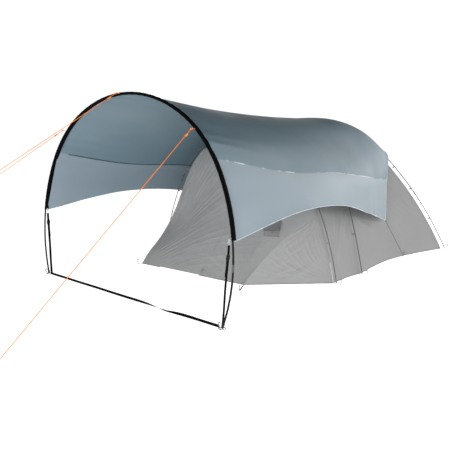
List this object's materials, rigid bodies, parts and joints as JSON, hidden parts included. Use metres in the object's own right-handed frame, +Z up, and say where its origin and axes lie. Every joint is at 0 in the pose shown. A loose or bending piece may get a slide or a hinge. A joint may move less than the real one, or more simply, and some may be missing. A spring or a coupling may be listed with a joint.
{
  "type": "hooped sun canopy pitched over a dome tent",
  "caption": "Pole-hooped sun canopy on guylines, stretched back over a dome tent with a front vestibule, zipped door and propped vent.",
  "frame": {"origin": "On the ground, at the middle of the footprint of everything but the guylines.", "axes": "+X to the right seen from the open front, +Y from the hoop back to the rear of the tent, +Z up."},
  "size_m": [3.2789, 8.3842, 2.1118],
  "materials": {
    "pole_black": "glossy black glass-fibre tube",
    "pole_grey": "grey glass-fibre rod",
    "ferrule": "drawn steel",
    "elastic": "braided elastic cord",
    "rubber_cap": "matt black",
    "black_webbing": "woven black webbing",
    "pale_webbing": "woven pale grey-blue webbing",
    "black_plastic": "moulded black plastic",
    "steel_wire": "plated steel wire",
    "guyline": "braided orange cord",
    "corner_cord": "black cord",
    "canopy_cloth": "smooth satin coated polyester, grey-blue",
    "tent_cloth": "lightly wrinkled coated polyester, grey",
    "inner_cloth": "light breathable polyester",
    "floor_cloth": "coated groundsheet, dark grey",
    "zip": "coil zip and tape",
    "mesh": "fine dark insect mesh",
    "grey_plastic": "moulded grey plastic",
    "tent_webbing": "woven grey webbing"
  },
  "bodies": {
    "tent": {"canopy_corner_rings": "steel_wire", "canopy_roof_panel": "canopy_cloth", "canopy_side_panel_left": "canopy_cloth", "canopy_side_panel_right": "canopy_cloth", "corner_cord_left": "corner_cord", "corner_cord_right": "corner_cord", "corner_pegs": "steel_wire", "crown_patch": "tent_cloth", "dome_pole_a": "pole_grey", "dome_pole_b": "pole_grey", "dome_wall_left": "tent_cloth", "dome_wall_rear": "tent_cloth", "dome_wall_right": "tent_cloth", "door_zip_tape": "zip", "flysheet_side_left": "tent_cloth", "flysheet_side_right": "tent_cloth", "ground_strap": "black_webbing", "guyline_centre": "guyline", "guyline_left": "guyline", "guyline_pegs": "steel_wire", "guyline_right": "guyline", "hoop_foot_pegs": "steel_wire", "hoop_foot_rings": "steel_wire", "inner_tent": "inner_cloth", "pole_clips": "grey_plastic", "tent_foot_loops": "tent_webbing", "tent_pegs": "steel_wire", "tent_pole_ferrules": "ferrule", "tub_groundsheet": "floor_cloth", "vent_mesh": "mesh", "vestibule_front": "tent_cloth", "vestibule_pole": "pole_grey", "vestibule_wing_left": "tent_cloth", "vestibule_wing_right": "tent_cloth"},
    "hoop": {"hoop_pole_ferrules": "ferrule", "hoop_pole_leg_left": "pole_black", "hoop_pole_leg_right": "pole_black", "hoop_pole_shoulder_left": "pole_black", "hoop_pole_shoulder_right": "pole_black", "hoop_pole_side_left": "pole_black", "hoop_pole_side_right": "pole_black", "hoop_pole_top": "pole_black", "hoop_shock_cord": "elastic", "hoop_sleeve": "black_webbing", "hoop_foot_caps": "rubber_cap", "leg_straps": "black_webbing", "leg_strap_rings": "pale_webbing", "guyline_tabs": "black_plastic"},
    "runner_centre": {"guyline_runner_centre": "black_plastic"},
    "runner_left": {"guyline_runner_left": "black_plastic"},
    "runner_right": {"guyline_runner_right": "black_plastic"},
    "buckle_left": {"leg_buckle_left": "black_plastic", "leg_strap_tail_left": "black_webbing"},
    "buckle_right": {"leg_buckle_right": "black_plastic", "leg_strap_tail_right": "black_webbing"},
    "door": {"vestibule_door": "tent_cloth"},
    "zip_slider": {"door_zip_slider": "zip"},
    "hood": {"vent_hood": "tent_cloth"},
    "hood_prop": {"vent_strut": "grey_plastic"}
  },
  "joints": [
    {"name": "hoop_lean", "type": "hinge", "parent": "tent", "child": "hoop", "pos_m": [0.035, -2.4, 0], "axis": [-1, 0, 0], "range_deg": [0, 5], "deforming": ["canopy_roof_panel", "canopy_side_panel_left", "canopy_side_panel_right", "guyline_centre", "guyline_left", "guyline_right"]},
    {"name": "runner_centre_slide", "type": "slide", "parent": "hoop", "child": "runner_centre", "axis": [-0.0112, -0.8654, -0.501], "range_m": [0, 0.6]},
    {"name": "runner_left_slide", "type": "slide", "parent": "hoop", "child": "runner_left", "axis": [-0.1795, -0.8149, -0.5511], "range_m": [0, 0.6]},
    {"name": "runner_right_slide", "type": "slide", "parent": "hoop", "child": "runner_right", "axis": [0.1795, -0.8149, -0.5511], "range_m": [0, 0.6]},
    {"name": "buckle_left_slide", "type": "slide", "parent": "hoop", "child": "buckle_left", "axis": [-0.0778, 0.0296, 0.9965], "range_m": [-0.1, 0.06]},
    {"name": "buckle_right_slide", "type": "slide", "parent": "hoop", "child": "buckle_right", "axis": [0.0778, 0.0296, 0.9965], "range_m": [-0.1, 0.06]},
    {"name": "door_swing", "type": "hinge", "parent": "tent", "child": "door", "pos_m": [-0.639, -1.28, 0.01], "axis": [-0.2065, -0.4517, -0.8679], "range_deg": [0, 100]},
    {"name": "door_zip", "type": "slide", "parent": "tent", "child": "zip_slider", "axis": [0.2777, 0.426, 0.861], "range_m": [0, 1.29]},
    {"name": "hood_close", "type": "hinge", "parent": "tent", "child": "hood", "pos_m": [0.82025, -0.82199, 0.71567], "axis": [0.8848, 0.466, 0], "range_deg": [0, 30]},
    {"name": "prop_fold", "type": "hinge", "parent": "tent", "child": "hood_prop", "pos_m": [0.84649, -0.87181, 0.58228], "axis": [0.8848, 0.466, 0], "range_deg": [0, 85]}
  ],
  "couplings": [
    {"joint": "prop_fold", "follows": "hood_close", "ratio": 2.8333}
  ]
}
